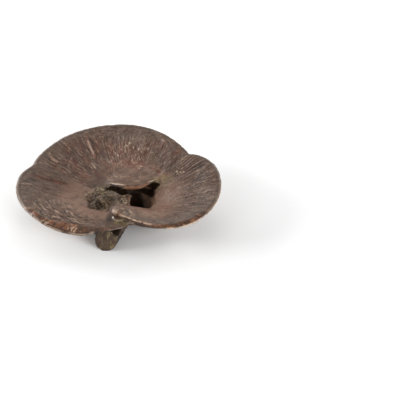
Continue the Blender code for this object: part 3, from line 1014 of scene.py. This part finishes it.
def crumb_finish(c):
    """The crumbs of crust: olive, with yellow green and dark ones among them."""
    t = Finish("crust_crumbs")
    olive, moss, ridge, groove = tints(c, "olive moss ridge groove")
    one, other = t.noise(t.place, 520, 1), t.noise(t.place, 410, 1)
    fine = t.noise(t.place, 1600, 2)
    tint = t.coats(
        olive,
        (moss, one.rises(0.46, 0.6) * 0.85),
        (ridge, one.falls(0.34, 0.44) * 0.6),
        (groove, other.falls(0.4, 0.54) * 0.8),
        (ridge, fine.rises(0.6, 0.75) * 0.3),
    )
    t.feed(Base_Color=tint, Roughness=0.75 + 0.2 * (fine - 0.5))
    t.bump(fine, 0.6, 0.0004)
    return t.material


def floor_finish(tint):
    """A matt table of one colour, with faint clouds in it."""
    t = Finish("matt_table")
    faint = t.noise(t.place, 3, 2)
    darker = [value * 0.985 for value in tint]
    t.feed(
        Base_Color=t.mix((*tint, 1), (*darker, 1), faint.rises(0.3, 0.7)),
        Roughness=0.7 + 0.1 * (faint - 0.5),
    )
    t.shader.inputs["Specular IOR Level"].default_value = 0.2
    return t.material


# ---- operators ----
class FUNGUS_OT_grow(bpy.types.Operator):
    """Grow the cap and stem, with ribs, folds, zones and crust"""

    bl_idname = "fungus.grow"
    bl_label = "Grow the fungus"

    def execute(self, context):
        sizes = context.scene.fungus_sizes
        bare, guide = grown_form(sizes.grain)
        mesh = growth_tree().apply(
            bare,
            Guide=guide,
            Rib_spacing=sizes.rib_spacing,
            Rib_height=sizes.rib_height,
            Fold_height=sizes.fold_height,
            Zone_height=sizes.zone_height,
            Crust_height=sizes.crust_height,
            Material=crust_finish(context.scene.fungus_colours, sizes.rib_spacing),
        )
        forget(bare, guide)
        fungus = new_object("fungus_body", mesh)
        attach(fungus, "root")
        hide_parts("bracket_fungus")
        return {"FINISHED"}


class FUNGUS_OT_crumbs(bpy.types.Operator):
    """Scatter crumbs of crust over the knolls and the mossy creases"""

    bl_idname = "fungus.crumbs"
    bl_label = "Scatter the crumbs"

    def execute(self, context):
        sizes = context.scene.fungus_sizes
        mesh = crumb_tree().apply(
            bpy.data.objects["fungus_body"],
            Density=sizes.crumbs_per_cm2 * CM2_PER_M2,
            Crumb=sizes.crumb,
            Seed=sizes.seed,
            Material=crumb_finish(context.scene.fungus_colours),
        )
        crumbs = new_object("crust_crumbs", mesh)
        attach(crumbs, "root")
        return {"FINISHED"}


def panel_light(turn, rise, power, size):
    """A square light panel that faces the fungus."""
    light = bpy.data.lights.new("panel", "AREA")
    light.energy, light.size = power, size
    lamp = new_object("panel", light)
    turn, rise = math.radians(turn), math.radians(rise)
    way = Vector((math.sin(turn) * math.cos(rise), -math.cos(turn) * math.cos(rise), math.sin(rise)))
    lamp.location = way * PANEL_DISTANCE + Vector(PANEL_AIM)
    lamp.rotation_mode = "QUATERNION"
    lamp.rotation_quaternion = (-way).to_track_quat("-Z", "Y")


class FUNGUS_OT_stage(bpy.types.Operator):
    """Set out the pale table, the soft lights and the camera"""

    bl_idname = "fungus.stage"
    bl_label = "Set the stage"

    def execute(self, context):
        scene, s = context.scene, context.scene.fungus_stage
        bpy.ops.mesh.primitive_plane_add(size=TABLE_SIZE)
        floor = context.object
        floor.name = "table"
        floor.data.materials.append(floor_finish(tuple(s.floor)))
        world = bpy.data.worlds.new("white_tent")
        world.use_nodes = True
        scene.world = world
        background = world.node_tree.nodes["Background"]
        background.inputs["Color"].default_value = (1, 1, 1, 1)
        background.inputs["Strength"].default_value = s.dome
        for turn, rise, share in PANELS:
            panel_light(turn, rise, share * s.power, s.panel)
        camera_data = bpy.data.cameras.new("camera")
        camera_data.lens = s.lens
        camera_data.clip_start, camera_data.clip_end = CLIP_START, CLIP_END
        camera = new_object("camera", camera_data)
        back = Vector((0, -math.cos(s.elevation), math.sin(s.elevation)))
        camera.location = Vector(CAMERA_AIM) + back * s.distance
        camera.rotation_mode = "QUATERNION"
        camera.rotation_quaternion = (-back).to_track_quat("-Z", "Y")
        scene.camera = camera
        scene.view_settings.view_transform = "Standard"
        return {"FINISHED"}


class FUNGUS_PT_panel(bpy.types.Panel):
    """Lists what the fungus is made with"""

    bl_label = "Bracket fungus"
    bl_space_type = "VIEW_3D"
    bl_region_type = "UI"
    bl_category = "Fungus"

    def draw(self, context):
        groups = (
            (context.scene.fungus_sizes, ("fungus.grow", "fungus.crumbs")),
            (context.scene.fungus_colours, ()),
            (context.scene.fungus_stage, ("fungus.stage",)),
        )
        for settings, operators in groups:
            box = self.layout.box()
            for name in settings.__annotations__:
                box.prop(settings, name)
            for operator in operators:
                box.operator(operator)


OPERATORS = (FUNGUS_OT_grow, FUNGUS_OT_crumbs, FUNGUS_OT_stage)
CLASSES = (FungusSizes, FungusColours, StageSettings, *OPERATORS, FUNGUS_PT_panel)


def register():
    for cls in CLASSES:
        bpy.utils.register_class(cls)
    bpy.types.Scene.fungus_sizes = PointerProperty(type=FungusSizes)
    bpy.types.Scene.fungus_colours = PointerProperty(type=FungusColours)
    bpy.types.Scene.fungus_stage = PointerProperty(type=StageSettings)


def unregister():
    del bpy.types.Scene.fungus_stage, bpy.types.Scene.fungus_colours, bpy.types.Scene.fungus_sizes
    for cls in reversed(CLASSES):
        bpy.utils.unregister_class(cls)


def main():
    register()
    bpy.ops.fungus.grow()
    bpy.ops.fungus.crumbs()
    bpy.ops.fungus.stage()


if __name__ == "__main__":
    main()
